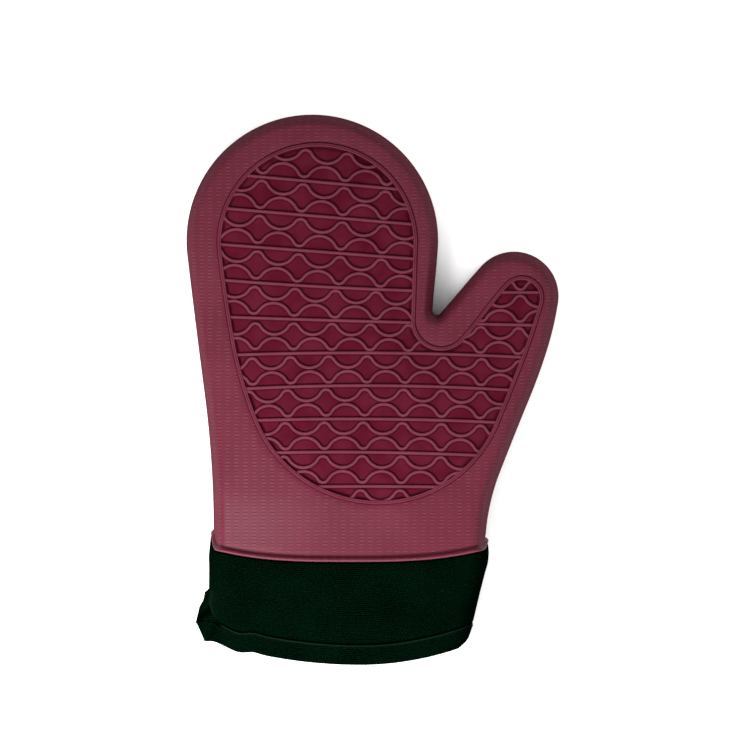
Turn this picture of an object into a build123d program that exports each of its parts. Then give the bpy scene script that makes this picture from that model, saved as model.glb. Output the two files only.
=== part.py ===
"""Oven mitt: two silicone half shells round a quilted liner, with a woven cuff at the wrist.

The mitt lies on its back with the palm up: +Y runs to the fingertips, +X to the thumb, and Z = 0 is
the surface that it rests on. The origin is the middle of its plan box. Millimetres.
"""
import math
import os
from collections import namedtuple

from build123d import *

# Overall size
overall_length = 300.0
overall_width = 203.4
tip_height = 32.0
wrist_height = 45.0
edge_radius = 12.0

# Plan outline of the shell, headings in degrees anticlockwise from +X
finger_dome_radius = 68.8
left_lean = 6.7
right_lean = 4.0
crotch_x = 35.2
crotch_y = 42.9
crotch_radius = 2.4
thumb_tip_radius = 24.3
thumb_tip_y = 50.8
thumb_inner_heading = 48.0
thumb_outer_heading = -99.0
thumb_root_x = 85.6
thumb_root_y = -5.6
thumb_root_heading = -112.5
wrist_left_x = -86.8
wrist_right_x = 62.2
wrist_straight_y = -78.0

# Wrist edge of the shell, drawn as one arc, and its bead
wrist_edge_left_y = -83.5
wrist_edge_middle_y = -93.8
wrist_edge_right_y = -86.5
wrist_bead_width = 3.2
wrist_bead_height = 1.0

# Layers from the outside in
shell_wall = 2.0
cloth_thickness = 0.8
batting_thickness = 2.8
layer_gap = 0.25
liner_setback = 4.0

# Grip panel on the palm
rim_width = 2.2
rim_height = 0.8
rim_ledge = 0.3
groove_depth = 0.9
tip_border = 15.3
dome_shift_x = 2.8
dome_shift_y = -1.4
crotch_border = 12.9
crotch_shift_x = 2.2
crotch_shift_y = -5.7
thumb_border = 13.4
thumb_shift_x = 4.0
thumb_shift_y = -1.1
heel_radius = 69.4
heel_x = 3.6
heel_border = 32.0
heel_left_reach = 67.3
heel_left_drop = 24.5
heel_left_heading = -248.0

# Grip ribs: straight ribs with a pair of mirrored waves between each two of them
rib_width = 1.4
rib_rows = 10
rib_pitch = 18.5
first_rib_x = -28.7
first_rib_y = 112.9
rib_tilt = 5.3
tilted_rows = 5.5
wave_height = 6.3
wave_spacing = 2.0
wave_narrow_share = 0.26
finger_wave_pitch = 22.6
palm_wave_pitch = 20.9
finger_wave_rows = 4
wave_column_x = -37.4
wave_column_drift = -1.15

# Fold lines of the soft mitt, as rays from a point in the notch between fingers and thumb
fold_origin_x = 0.6
fold_origin_y = 3.0
finger_fold_tilt = 2.0
thumb_fold_heading = -24.0
gap_heading = 72.0
fold_gap = 0.4

# Cuff
tuck_length = 14.0
cuff_fold_clearance = 1.2
cuff_flare = 10.0
cuff_left_x = -89.4
cuff_right_x = 62.9
cuff_height = 44.0
cuff_rise = 1.6
cuff_corner_radius = 14.0
mouth_left_x = -96.0
mouth_right_x = 51.6
mouth_height = 38.0
mouth_rise = 1.1
mouth_side_y = -138.7
hem_depth = 11.5
hem_thread_width = 0.7
hem_thread_height = 0.35
hem_thread_gap = 0.1

# Room that every cutting block spans
reach = 2.0 * overall_length

Bend = namedtuple("Bend", "center radius start sweep")
Run = namedtuple("Run", "start end")

tip_y = overall_length / 2
mouth_y = -overall_length / 2
top_slope = (wrist_height - tip_height) / (tip_y - wrist_edge_middle_y)
cuff_fold_y = wrist_edge_middle_y - cuff_fold_clearance
outline_end_y = cuff_fold_y - cuff_flare
crotch = Vector(crotch_x, crotch_y)
fold_origin = crotch + Vector(fold_origin_x, fold_origin_y)
dome = Vector(finger_dome_radius - overall_width / 2, tip_y - finger_dome_radius)
thumb = Vector(overall_width / 2 - thumb_tip_radius, thumb_tip_y)


def unit(heading):
    """Unit vector along a heading."""
    return Vector(math.cos(math.radians(heading)), math.sin(math.radians(heading)))


def rounded(center, radius, heading):
    """Point of an outward bulge where the outline, run clockwise, has this heading."""
    return center + unit(heading + 90) * radius, heading


def hollowed(center, radius, heading):
    """Point of an inward notch where the outline, run clockwise, has this heading."""
    return center - unit(heading + 90) * radius, heading


def tangent_piece(start, heading, end):
    """Arc or straight run that leaves start along heading and reaches end."""
    chord = end - start
    aside = unit(heading + 90).dot(chord)
    ahead = unit(heading).dot(chord)
    if abs(aside) < 1e-5 * chord.length:
        return Run(start, end)
    side = chord.dot(chord) / (2 * aside)
    center = start + unit(heading + 90) * side
    sweep = 2 * math.degrees(math.atan2(aside, ahead))
    return Bend(center, abs(side), heading - math.copysign(90, side), sweep)


def biarc(start, heading, end, end_heading):
    """One or two tangent pieces from a point and heading to the next point and heading."""
    chord = end - start
    first = unit(heading)
    last = unit(end_heading)
    along = chord.dot(first + last)
    bend = 2 * (1 - first.dot(last))
    if bend < 1e-9:
        arm = chord.dot(chord) / (2 * along)
    else:
        arm = (math.sqrt(along**2 + bend * chord.dot(chord)) - along) / bend
    middle = (start + end + (first - last) * arm) / 2
    one = tangent_piece(start, heading, middle)
    turn = one.sweep if isinstance(one, Bend) else 0
    two = tangent_piece(middle, heading + turn, end)
    if isinstance(one, Run) and isinstance(two, Run):
        return [Run(start, end)]
    if isinstance(one, Bend) and isinstance(two, Bend) and (one.center - two.center).length < 1e-5:
        return [Bend(one.center, one.radius, one.start, one.sweep + two.sweep)]
    return [one, two]


def chain(stations):
    """Smooth chain of arcs and runs through stations of a point and a heading."""
    pieces = []
    for (start, heading), (end, end_heading) in zip(stations, stations[1:]):
        pieces += biarc(start, heading, end, end_heading)
    return pieces


def chain_edges(pieces, inset):
    """Edges of a clockwise chain, moved to its right by the inset."""
    edges = []
    for piece in pieces:
        if isinstance(piece, Run):
            aside = (piece.end - piece.start).normalized().rotate(Axis.Z, -90) * inset
            edges.append(Line(piece.start + aside, piece.end + aside))
            continue
        radius = piece.radius + inset * math.copysign(1, piece.sweep)
        angles = [piece.start, piece.start + piece.sweep / 2, piece.start + piece.sweep]
        edges.append(ThreePointArc(*[piece.center + unit(angle) * radius for angle in angles]))
    return edges


def closed_face(edges):
    """Flat face inside a chain of edges, its ends joined by a straight line where they are apart."""
    start = edges[0] @ 0
    end = edges[-1] @ 1
    if (end - start).length > 1e-4:
        edges = edges + [Line(end, start)]
    return make_face(edges)


def column(face):
    """Upright block on a plan face, through the whole height of the mitt."""
    return extrude(Pos(0, 0, -reach / 2) * face, amount=reach, dir=(0, 0, 1))


def top_plane(inset):
    """Plane of the palm, which rises from the fingertips to the wrist."""
    normal = Vector(0, top_slope, 1).normalized()
    height = tip_height + top_slope * tip_y
    return Plane(origin=Vector(0, 0, height) - normal * inset, x_dir=(1, 0, 0), z_dir=normal)


def parting_plane():
    """Plane half way up, where the palm half meets the back half."""
    height = (tip_height + top_slope * tip_y) / 2
    return Plane(origin=(0, 0, height), x_dir=(1, 0, 0), z_dir=(0, top_slope / 2, 1))


def shell_outline():
    """Plan outline of the shell, clockwise from the left of the wrist to its right."""
    return chain(
        [
            (Vector(wrist_left_x, outline_end_y), 90),
            (Vector(wrist_left_x, wrist_straight_y), 90),
            rounded(dome, finger_dome_radius, 90 + left_lean),
            rounded(dome, finger_dome_radius, 0),
            rounded(dome, finger_dome_radius, -90 - right_lean),
            hollowed(crotch, crotch_radius, -90 - right_lean),
            hollowed(crotch, crotch_radius, thumb_inner_heading),
            rounded(thumb, thumb_tip_radius, thumb_inner_heading),
            rounded(thumb, thumb_tip_radius, thumb_outer_heading),
            (Vector(thumb_root_x, thumb_root_y), thumb_root_heading),
            (Vector(wrist_right_x, wrist_straight_y), -90),
            (Vector(wrist_right_x, outline_end_y), -90),
        ]
    )


def panel_outline():
    """Plan outline of the grip panel's rim, clockwise and closed."""
    panel_dome = dome + Vector(dome_shift_x, dome_shift_y)
    panel_crotch = crotch + Vector(crotch_shift_x, crotch_shift_y)
    panel_thumb = thumb + Vector(thumb_shift_x, thumb_shift_y)
    heel = Vector(heel_x, wrist_edge_middle_y + heel_border + heel_radius)
    dome_radius = finger_dome_radius - tip_border
    notch_radius = crotch_radius + crotch_border
    tip_radius = thumb_tip_radius - thumb_border
    return chain(
        [
            rounded(panel_dome, dome_radius, 90 + left_lean),
            rounded(panel_dome, dome_radius, 0),
            rounded(panel_dome, dome_radius, -90 - right_lean / 2),
            hollowed(panel_crotch, notch_radius, -90 - right_lean / 2),
            hollowed(panel_crotch, notch_radius, thumb_inner_heading),
            rounded(panel_thumb, tip_radius, thumb_inner_heading),
            rounded(panel_thumb, tip_radius, thumb_root_heading + left_lean),
            rounded(heel, heel_radius, thumb_root_heading),
            rounded(heel, heel_radius, -180),
            (heel - Vector(heel_left_reach, heel_left_drop), heel_left_heading),
            rounded(panel_dome, dome_radius, -270 + left_lean),
        ]
    )


def pillow(inset):
    """Whole mitt as one solid with rounded edges, every face moved in by the inset."""
    block = extrude(
        Pos(0, 0, inset) * closed_face(chain_edges(SHELL, inset)), amount=2 * wrist_height, dir=(0, 0, 1)
    )
    block = split(block, top_plane(inset), keep=Keep.BOTTOM)
    faces = block.faces().sort_by(Axis.Z)
    round_edges = faces[-1].edges().sort_by(Axis.Y)[1:] + faces[0].edges().sort_by(Axis.Y)[1:]
    return fillet(round_edges, edge_radius - inset)


def wrist_zone(lift):
    """Everything on the fingers' side of the wrist edge, moved up the hand by lift."""
    left = Vector(wrist_left_x, wrist_edge_left_y + lift)
    middle = Vector((wrist_left_x + wrist_right_x) / 2, wrist_edge_middle_y + lift)
    right = Vector(wrist_right_x, wrist_edge_right_y + lift)
    return column(edge_zone(left, middle, right))


def mouth_zone(lift):
    """Everything on the fingers' side of the cuff's mouth, moved up the cuff by lift."""
    left = Vector(mouth_left_x, mouth_side_y + lift)
    middle = Vector((mouth_left_x + mouth_right_x) / 2, mouth_y + lift)
    right = Vector(mouth_right_x, mouth_side_y + lift)
    return column(edge_zone(left, middle, right))


def edge_zone(left, middle, right):
    """Plan face above a curved edge, carried on level past the edge's two ends."""
    far_left = Vector(-reach, left.Y)
    far_right = Vector(reach, right.Y)
    return make_face(
        [
            Line(far_left, left),
            ThreePointArc(left, middle, right),
            Line(right, far_right),
            Polyline(far_right, (reach, reach), (-reach, reach), far_left),
        ]
    )


def fold_zones():
    """Blocks that divide the mitt into hand, fingers and thumb along the three rays."""
    fold = unit(180 - finger_fold_tilt)
    root = unit(thumb_fold_heading)
    gap = unit(gap_heading)
    fold_start = fold_origin + unit(90 - finger_fold_tilt) * fold_gap
    root_start = fold_origin + unit(thumb_fold_heading + 90) * fold_gap
    low_left = Vector(-reach, -reach)
    low_right = Vector(reach, -reach)
    gap_end = fold_origin + gap * reach
    hand = [fold_origin, fold_origin + fold * reach, low_left, low_right, fold_origin + root * reach]
    fingers = [fold_start, fold_start + fold * reach, (-reach, reach), gap_end]
    thumb_part = [root_start, gap_end, (reach, reach), root_start + root * reach]
    return {
        "hand": column(make_face(Polyline(*hand, close=True))),
        "fingers": column(make_face(Polyline(*fingers, close=True))),
        "thumb": column(make_face(Polyline(*thumb_part, close=True))),
    }


def strip(pieces, width):
    """Face of a line of constant width along a chain."""
    upper = chain_edges(pieces, -width / 2)
    lower = chain_edges(pieces, width / 2)
    ends = [Line(upper[0] @ 0, lower[0] @ 0), Line(upper[-1] @ 1, lower[-1] @ 1)]
    return make_face(upper + lower + ends)


def wave(pitch, periods, flip):
    """Wave rib along X with narrow peaks and wide hollows, its first peak at X = 0."""
    slant = 2 * math.degrees(math.atan(2 * wave_height / pitch))
    both_radii = pitch / 2 / math.sin(math.radians(slant))
    narrow = wave_narrow_share * both_radii
    wide = both_radii - narrow
    peak_y = wave_spacing / 2 + wave_height - narrow
    hollow_y = wave_spacing / 2 + wide
    pieces = []
    for period in range(periods):
        peak = Vector(period * pitch, flip * peak_y)
        hollow = Vector((period + 0.5) * pitch, flip * hollow_y)
        pieces.append(Bend(peak, narrow, flip * (90 + slant), -2 * flip * slant))
        pieces.append(Bend(hollow, wide, -flip * (90 + slant), 2 * flip * slant))
    return strip(pieces, rib_width)


def row_tilt(row):
    """Slant of a rib row, which dies away towards the heel of the hand."""
    return rib_tilt * max(0, 1 - row / tilted_rows)


def grip_ribs():
    """Plan faces of all straight ribs and wave ribs, reaching past the panel on both sides."""
    faces = []
    for row in range(-1, rib_rows):
        rib_y = first_rib_y - row * rib_pitch
        if row >= 0:
            line = Rot(0, 0, -row_tilt(row)) * Rectangle(reach, rib_width)
            faces.append(Pos(first_rib_x, rib_y) * line)
        pitch = finger_wave_pitch if row < finger_wave_rows else palm_wave_pitch
        before = math.ceil(overall_width / 2 / pitch)
        periods = math.ceil(1.5 * overall_width / pitch)
        column_x = wave_column_x + row * wave_column_drift
        tilt = Pos(first_rib_x, rib_y - rib_pitch / 2) * Rot(0, 0, -row_tilt(row + 0.5))
        for flip in (1, -1):
            first_peak = Pos(column_x - first_rib_x - before * pitch, 0)
            faces.append(tilt * first_peak * wave(pitch, periods, flip))
    return faces


def grip_grooves():
    """Hollows of the grip panel between its ribs."""
    floor = closed_face(chain_edges(PANEL, rim_width / 2 + rim_ledge))
    for rib in grip_ribs():
        floor -= rib
    return extrude(top_plane(groove_depth) * floor, amount=2 * groove_depth, dir=top_plane(0).z_dir)


def grip_rim():
    """Raised rim round the grip panel, rooted in the shell wall."""
    ring = closed_face(chain_edges(PANEL, -rim_width / 2)) - closed_face(chain_edges(PANEL, rim_width / 2))
    root = shell_wall / 2
    return extrude(top_plane(root) * ring, amount=root + rim_height, dir=top_plane(0).z_dir)


def wrist_bead():
    """Bead round the wrist edge, pressed flat where the mitt rests on it."""
    ring = pillow(-wrist_bead_height) - pillow(shell_wall / 2)
    band = wrist_zone(0) - wrist_zone(wrist_bead_width)
    return split(ring & band, Plane.XY, keep=Keep.TOP)


def layer(outside, thickness):
    """Hollow shell between two insets of the mitt."""
    return pillow(outside) - pillow(outside + thickness)


def halves(solid):
    """Palm half and back half of a layer."""
    plane = parting_plane()
    return {"palm": split(solid, plane, keep=Keep.TOP), "back": split(solid, plane, keep=Keep.BOTTOM)}


def cuff_section(y, left, right, bottom, top, radius):
    """Rounded section of the cuff across the arm."""
    plane = Plane(origin=((left + right) / 2, y, (bottom + top) / 2), x_dir=(1, 0, 0), z_dir=(0, -1, 0))
    return plane * RectangleRounded(right - left, top - bottom, radius)


def cuff_body(inset):
    """Solid inside the cuff's outer face, moved in by the inset."""
    tuck_inset = shell_wall + layer_gap
    fold_top = tip_height + top_slope * (tip_y - cuff_fold_y)
    sections = []
    for y, left, right, low, high, radius in [
        (
            cuff_fold_y,
            wrist_left_x + tuck_inset,
            wrist_right_x - tuck_inset,
            tuck_inset,
            fold_top - tuck_inset,
            edge_radius - tuck_inset,
        ),
        (outline_end_y, cuff_left_x, cuff_right_x, cuff_rise, cuff_height, cuff_corner_radius),
        (mouth_y - 1, mouth_left_x, mouth_right_x, mouth_rise, mouth_height, cuff_corner_radius),
    ]:
        sections.append(
            cuff_section(y, left + inset, right - inset, low + inset, high - inset, radius - inset)
        )
    return loft(sections)


def cuff_tube(outside, thickness):
    """Cloth tube of the cuff from its fold line to its curved mouth."""
    tube = cuff_body(outside) - cuff_body(outside + thickness)
    start = Plane(origin=(0, cuff_fold_y - fold_gap, 0), x_dir=(1, 0, 0), z_dir=(0, -1, 0))
    return split(tube, start, keep=Keep.TOP) & mouth_zone(0)


def build():
    """All pieces of the mitt by name."""
    pieces = {}
    zones = fold_zones()
    face_inset = shell_wall + layer_gap
    batting_inset = face_inset + cloth_thickness + layer_gap
    lining_inset = batting_inset + batting_thickness + layer_gap

    shell = halves((layer(0, shell_wall) & wrist_zone(0)) + wrist_bead())
    shell["palm"] += grip_rim()
    grooves = grip_grooves()

    face_cloth = layer(face_inset, cloth_thickness)
    batting = layer(batting_inset, batting_thickness) & wrist_zone(liner_setback)
    lining = layer(lining_inset, cloth_thickness) & wrist_zone(liner_setback)
    tuck_end = Plane(origin=(0, cuff_fold_y, 0), x_dir=(1, 0, 0), z_dir=(0, 1, 0))
    tuck = split(face_cloth, tuck_end, keep=Keep.TOP) - wrist_zone(tuck_length)
    face_cloth = face_cloth & wrist_zone(tuck_length + layer_gap)

    layers = {
        "shell": shell,
        "face_cloth": halves(face_cloth),
        "batting": halves(batting),
        "lining": halves(lining),
    }
    for name, sides in layers.items():
        for side, solid in sides.items():
            for zone, block in zones.items():
                pieces[f"{side}_{name}_{zone}"] = solid & block
    for zone in zones:
        pieces[f"palm_shell_{zone}"] -= grooves
    for side, solid in halves(tuck).items():
        pieces[f"{side}_cuff_tuck"] = solid
    for side, solid in halves(cuff_tube(0, cloth_thickness)).items():
        pieces[f"{side}_cuff_panel"] = solid
    for side, solid in halves(cuff_tube(cloth_thickness + layer_gap, cloth_thickness)).items():
        pieces[f"{side}_cuff_facing"] = solid
    thread = cuff_tube(-hem_thread_gap - hem_thread_height, hem_thread_height)
    pieces["hem_thread"] = thread & (mouth_zone(hem_depth) - mouth_zone(hem_depth + hem_thread_width))
    return pieces


SHELL = shell_outline()
PANEL = panel_outline()

os.makedirs("parts", exist_ok=True)
for node, piece in build().items():
    export_step(piece, f"parts/{node}.step")
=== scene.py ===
"""Looks of the oven mitt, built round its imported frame.

The mitt lies on its back: +Y runs to the fingertips, +X to the thumb and +Z up from the palm.
Sizes here are in millimetres, and make_piece turns them to metres.
"""
import math
from collections import namedtuple

import bmesh
import bpy
import numpy as np
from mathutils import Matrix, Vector, noise
from mathutils.geometry import delaunay_2d_cdt


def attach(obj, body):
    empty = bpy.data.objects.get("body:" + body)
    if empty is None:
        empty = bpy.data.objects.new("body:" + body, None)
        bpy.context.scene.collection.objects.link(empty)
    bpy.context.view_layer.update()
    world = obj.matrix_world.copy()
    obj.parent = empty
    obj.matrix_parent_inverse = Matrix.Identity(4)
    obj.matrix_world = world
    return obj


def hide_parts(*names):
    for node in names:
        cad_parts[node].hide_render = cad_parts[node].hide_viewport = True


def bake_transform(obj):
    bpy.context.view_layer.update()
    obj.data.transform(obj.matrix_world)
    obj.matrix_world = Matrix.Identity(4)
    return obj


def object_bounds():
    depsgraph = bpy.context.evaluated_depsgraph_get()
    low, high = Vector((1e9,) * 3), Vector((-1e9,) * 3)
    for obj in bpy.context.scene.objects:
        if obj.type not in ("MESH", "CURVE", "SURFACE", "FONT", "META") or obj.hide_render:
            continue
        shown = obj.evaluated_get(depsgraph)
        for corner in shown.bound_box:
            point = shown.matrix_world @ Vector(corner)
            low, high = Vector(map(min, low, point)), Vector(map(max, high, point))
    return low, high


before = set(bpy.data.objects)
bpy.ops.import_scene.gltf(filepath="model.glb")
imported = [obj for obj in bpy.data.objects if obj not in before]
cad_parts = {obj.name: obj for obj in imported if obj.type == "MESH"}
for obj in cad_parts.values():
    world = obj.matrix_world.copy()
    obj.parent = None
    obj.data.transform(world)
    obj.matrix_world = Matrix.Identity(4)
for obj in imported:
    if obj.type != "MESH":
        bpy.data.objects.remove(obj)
cad_low, cad_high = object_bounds()

MM = 0.001

# Box of the solids
tip_y = round(cad_high.y / MM, 1)
right_x = round(cad_high.x / MM, 1)
tip_height = 32.0
wrist_height = 45.0
wrist_edge_middle_y = -93.8

# Plan outline of the shell, headings in degrees anticlockwise from +X
finger_dome_radius = 68.8
left_lean = 6.7
right_lean = 4.0
crotch = np.array([35.2, 42.9])
crotch_radius = 2.4
thumb_tip_radius = 24.3
thumb_tip_y = 50.8
thumb_inner_heading = 48.0
thumb_outer_heading = -99.0
thumb_root = np.array([85.6, -5.6])
thumb_root_heading = -112.5
wrist_left_x = -86.8
wrist_right_x = 61.6
wrist_straight_y = -78.0
right_straight_y = -88.0
outline_end_y = -105.0

# Rolled edge and crown of the shell
roll_width = 7.0
roll_power = 2.2
roll_rows = 11
least_roll = 2.0
roll_half_height = 16.0
crown_height = 3.4
crown_reach = 28.0
crown_drop = 1.2
heel_swell = 1.6
heel_swell_y = -32.0
heel_swell_reach = 42.0
wrist_dip = 2.6
wrist_dip_start = -55.0
seam_half_width = 0.3
seam_depth = 0.3
seam_floor = 0.02
# Painted shade on the rolled edge's row at the seam
seam_painted_shade = 0.3
layer_seam = 0.05

# Wrist edge of the shell: level in the middle, rising to both sides, with a notch at the side seams
wrist_edge_y = -94.2
wrist_rise = 6.6
wrist_notch_left = 8.4
wrist_notch_right = 4.1
wrist_notch_start = 0.965
wrist_lift = 4.4
wrist_remap_y = -55.0

# Layers from the outside in
shell_wall = 2.0
cloth_thickness = 0.8
batting_thickness = 2.8
layer_gap = 0.25
liner_setback = 4.0
tuck_length = 14.0

# Grip panel on the palm
groove_depth = 0.9
tip_border = 15.3
dome_shift = np.array([2.8, -1.4])
crotch_border = 12.9
crotch_shift = np.array([2.2, -5.7])
thumb_border = 13.4
thumb_shift = np.array([4.0, -1.1])
heel_radius = 69.4
heel_center = np.array([3.6, 7.6])
heel_left_reach = np.array([67.3, 24.5])
heel_left_heading = -248.0

# Grip ribs, row by row from the fingertips: a straight rib's Y at the middle X, its slope and its curve,
# and the wave under it by the X of one peak, its pitch and its height. The first and the last straight
# rib lie outside the panel and only guide the waves.
RibRow = namedtuple("RibRow", "y slope curve wave_x wave_pitch wave_height")
RIB_ROWS = [
    RibRow(131.9, -0.095, 0.0, -36.8, 22.5, 6.3),
    RibRow(112.9, -0.09, 0.0, -38.3, 22.5, 6.3),
    RibRow(94.2, -0.085, 0.0, -39.5, 22.6, 6.3),
    RibRow(74.9, -0.075, 0.0, -18.0, 22.6, 6.3),
    RibRow(55.9, -0.055, 0.00024, -20.3, 22.1, 6.2),
    RibRow(37.7, -0.03, 0.00005, -22.1, 20.9, 5.9),
    RibRow(19.7, 0.01, -0.00028, -23.8, 20.8, 6.0),
    RibRow(1.7, 0.02, -0.0004, -25.2, 21.0, 6.0),
    RibRow(-16.3, 0.01, -0.0003, -26.2, 21.2, 6.0),
    RibRow(-34.3, 0.005, -0.0003, -26.9, 21.3, 6.1),
    RibRow(-53.1, 0.01, -0.0002, -28.0, 21.5, 6.0),
    RibRow(-71.5, 0.01, -0.0002, -28.0, 21.5, 6.0),
]
# Waves on the thumb's side of its border, in the rows that the border parts in two
THUMB_WAVES = {3: (80.8, 20.9, 6.1), 4: (80.5, 21.0, 6.0), 5: (79.6, 20.7, 5.9)}
THUMB_LIFT = {3: 1.7, 4: 0.0, 5: 0.0}
hand_wave_x = 36.0
thumb_wave_x = 45.0
rib_middle_x = -28.7
rib_reach = 150.0
rib_root = 0.5
wave_spacing = 2.0
wave_narrow_share = 0.26

# Fold lines
fold_origin = crotch + np.array([0.6, 3.0])
thumb_fold_heading = -24.0
# How far the edge of the fingers leans over the thumb's side, by height above the fold
finger_edge_lean = 0.1

# Spacing of the mesh
outline_step = 1.8
outline_turn = 5.0
fill_step = 3.0
flat_fill_step = 2.5
wrist_steps = 60
panel_step = 1.4
panel_turn = 3.0
rib_step = 2.5
wave_turn = 9.0
batch = 4000

Bend = namedtuple("Bend", "center radius start sweep")
Run = namedtuple("Run", "start end")

dome = np.array([finger_dome_radius - right_x, tip_y - finger_dome_radius])
thumb = np.array([right_x - thumb_tip_radius, thumb_tip_y])
top_slope = (wrist_height - tip_height) / (tip_y - wrist_edge_middle_y)


def unit(heading):
    """Unit vector along a heading."""
    return np.array([math.cos(math.radians(heading)), math.sin(math.radians(heading))])


def bell(offset, width):
    """Smooth bump, 1 where the offset is 0 and gone well past the width."""
    return np.exp(-((offset / width) ** 2))


def portion(value):
    """Value held between 0 and 1."""
    return np.clip(value, 0, 1)


def rounded(center, radius, heading):
    """Point of an outward bulge where the outline, run clockwise, has this heading."""
    return center + unit(heading + 90) * radius, heading


def hollowed(center, radius, heading):
    """Point of an inward notch where the outline, run clockwise, has this heading."""
    return center - unit(heading + 90) * radius, heading


def tangent_piece(start, heading, end):
    """Arc or straight run that leaves start along heading and reaches end."""
    chord = end - start
    aside = unit(heading + 90) @ chord
    ahead = unit(heading) @ chord
    if abs(aside) < 1e-5 * np.hypot(*chord):
        return Run(start, end)
    side = chord @ chord / (2 * aside)
    center = start + unit(heading + 90) * side
    sweep = 2 * math.degrees(math.atan2(aside, ahead))
    return Bend(center, abs(side), heading - math.copysign(90, side), sweep)


def biarc(start, heading, end, end_heading):
    """Two tangent pieces from a point and heading to the next point and heading."""
    chord = end - start
    first = unit(heading)
    last = unit(end_heading)
    along = chord @ (first + last)
    bend = 2 * (1 - first @ last)
    if bend < 1e-9:
        arm = chord @ chord / (2 * along)
    else:
        arm = (math.sqrt(along**2 + bend * (chord @ chord)) - along) / bend
    middle = (start + end + (first - last) * arm) / 2
    one = tangent_piece(start, heading, middle)
    turn = one.sweep if isinstance(one, Bend) else 0
    return [one, tangent_piece(middle, heading + turn, end)]


def chain(stations):
    """Smooth chain of arcs and runs through stations of a point and a heading."""
    pieces = []
    for (start, heading), (end, end_heading) in zip(stations, stations[1:]):
        pieces += biarc(start, heading, end, end_heading)
    return pieces


def shell_outline():
    """Plan outline of the shell, clockwise from the left of the wrist to its right."""
    return chain(
        [
            (np.array([wrist_left_x, outline_end_y]), 90),
            (np.array([wrist_left_x, wrist_straight_y]), 90),
            rounded(dome, finger_dome_radius, 90 + left_lean),
            rounded(dome, finger_dome_radius, 0),
            rounded(dome, finger_dome_radius, -90 - right_lean),
            hollowed(crotch, crotch_radius, -90 - right_lean),
            hollowed(crotch, crotch_radius, thumb_inner_heading),
            rounded(thumb, thumb_tip_radius, thumb_inner_heading),
            rounded(thumb, thumb_tip_radius, thumb_outer_heading),
            (thumb_root, thumb_root_heading),
            (np.array([wrist_right_x, right_straight_y]), -90),
            (np.array([wrist_right_x, outline_end_y]), -90),
        ]
    )


def panel_outline():
    """Plan outline of the grip panel's rim, clockwise and closed."""
    panel_dome = dome + dome_shift
    panel_crotch = crotch + crotch_shift
    panel_thumb = thumb + thumb_shift
    dome_radius = finger_dome_radius - tip_border
    notch_radius = crotch_radius + crotch_border
    tip_radius = thumb_tip_radius - thumb_border
    return chain(
        [
            rounded(panel_dome, dome_radius, 90 + left_lean),
            rounded(panel_dome, dome_radius, 0),
            rounded(panel_dome, dome_radius, -90 - right_lean / 2),
            hollowed(panel_crotch, notch_radius, -90 - right_lean / 2),
            hollowed(panel_crotch, notch_radius, thumb_inner_heading),
            rounded(panel_thumb, tip_radius, thumb_inner_heading),
            rounded(panel_thumb, tip_radius, thumb_root_heading + left_lean),
            rounded(heel_center, heel_radius, thumb_root_heading),
            rounded(heel_center, heel_radius, -180),
            (heel_center - heel_left_reach, heel_left_heading),
            rounded(panel_dome, dome_radius, -270 + left_lean),
        ]
    )


def marks_along(pieces, step, turn, closed=False):
    """Piece number and share along it of points spread over a chain."""
    marks = []
    for number, piece in enumerate(pieces):
        if isinstance(piece, Run):
            count = math.ceil(np.hypot(*(piece.end - piece.start)) / step)
        else:
            length = piece.radius * math.radians(abs(piece.sweep))
            count = max(math.ceil(length / step), math.ceil(abs(piece.sweep) / turn))
        marks += [(number, share / max(count, 1)) for share in range(max(count, 1))]
    if not closed:
        marks.append((len(pieces) - 1, 1.0))
    return marks


def points_at(pieces, marks, inset):
    """Points of a clockwise chain at the marks, moved to its right by the inset."""
    points = []
    for number, share in marks:
        piece = pieces[number]
        if isinstance(piece, Run):
            along = piece.end - piece.start
            aside = np.array([along[1], -along[0]]) / np.hypot(*along)
            points.append(piece.start + along * share + aside * inset)
        else:
            radius = max(piece.radius + inset * math.copysign(1, piece.sweep), 0.2)
            points.append(piece.center + unit(piece.start + piece.sweep * share) * radius)
    return np.array(points)


def inside(points, loop):
    """Which of the points lie inside a closed loop."""
    found = np.empty(len(points), bool)
    ends = np.roll(loop, -1, axis=0)
    rise = ends[:, 1] - loop[:, 1]
    slope = (ends[:, 0] - loop[:, 0]) / np.where(rise == 0, 1, rise)
    for first in range(0, len(points), batch):
        x, y = points[first : first + batch].T[:, :, None]
        spans = (loop[:, 1] > y) != (ends[:, 1] > y)
        crossed = spans & (x < loop[:, 0] + (y - loop[:, 1]) * slope)
        found[first : first + batch] = crossed.sum(axis=1) % 2 == 1
    return found


SHELL = shell_outline()
PANEL = panel_outline()
SHELL_MARKS = marks_along(SHELL, outline_step, outline_turn)
PANEL_MARKS = marks_along(PANEL, panel_step, panel_turn, closed=True)
SHELL_LINE = points_at(SHELL, SHELL_MARKS, 0)
PANEL_LINE = points_at(PANEL, PANEL_MARKS, 0)


def edge_distance(points):
    """Smooth measure of how far plan points lie from the shell's outline."""
    middles = (SHELL_LINE[1:] + SHELL_LINE[:-1]) / 2
    lengths = np.hypot(*(SHELL_LINE[1:] - SHELL_LINE[:-1]).T)
    distances = np.empty(len(points))
    for first in range(0, len(points), batch):
        part = points[first : first + batch]
        squares = ((part[:, None] - middles[None]) ** 2).sum(axis=2)
        pull = (lengths / np.maximum(squares, 0.25) ** 3).sum(axis=1)
        distances[first : first + batch] = (pull * 8 / (3 * math.pi)) ** -0.2
    return distances


def palm_height(y):
    """Height of the palm, which rises from the fingertips to the wrist."""
    return tip_height + top_slope * (tip_y - y)


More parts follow.
